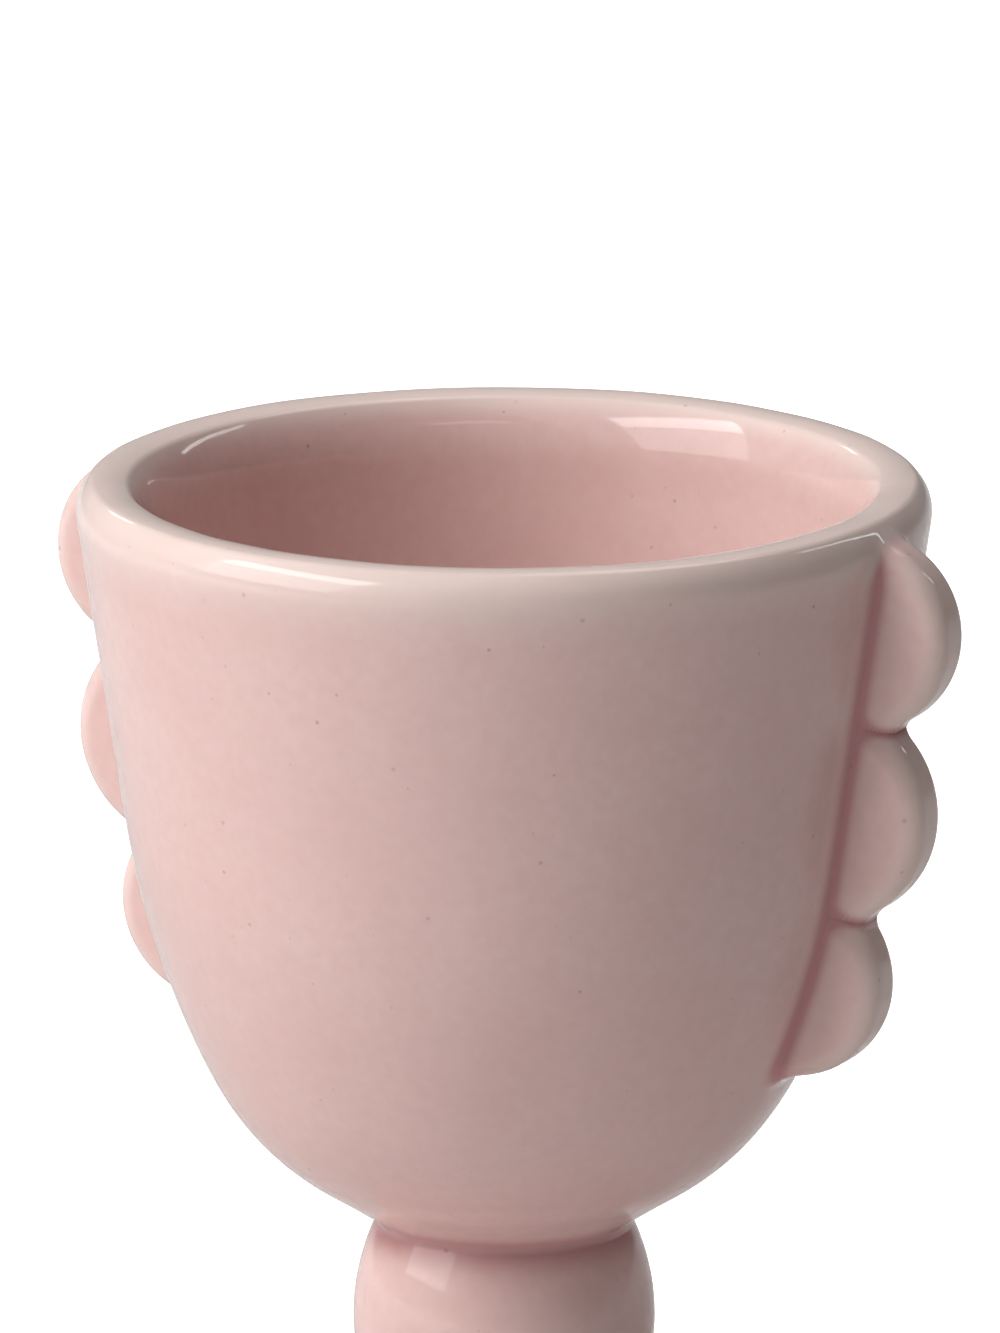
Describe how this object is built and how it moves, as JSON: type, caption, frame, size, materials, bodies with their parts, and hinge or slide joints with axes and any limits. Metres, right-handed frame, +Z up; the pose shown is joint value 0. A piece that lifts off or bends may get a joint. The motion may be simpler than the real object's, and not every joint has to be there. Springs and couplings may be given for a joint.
{
  "type": "egg cup",
  "caption": "Footed egg cup in pale pink glazed ceramic: round bowl with a rounded lip, a scalloped fin on each side, a barrel-shaped bead stem and a domed foot.",
  "frame": {"origin": "centre of the flat face that the foot ring stands on", "axes": "+Z up along the axis of the bowl, fins standing out along +X and -X"},
  "size_m": [0.0626, 0.054, 0.0732],
  "materials": {
    "bowl_glaze": "pale pink glossy glaze, thin and paler on the lip",
    "lobe_glaze": "pale pink glossy glaze, pooled deeper at the roots and creases",
    "stem_glaze": "pale pink glossy glaze, foot ring wiped bare"
  },
  "bodies": {
    "root": {"egg_bowl": "bowl_glaze", "right_upper_lobe": "lobe_glaze", "right_middle_lobe": "lobe_glaze", "right_lower_lobe": "lobe_glaze", "left_upper_lobe": "lobe_glaze", "left_middle_lobe": "lobe_glaze", "left_lower_lobe": "lobe_glaze", "stem_bead": "stem_glaze", "foot": "stem_glaze"}
  },
  "joints": []
}
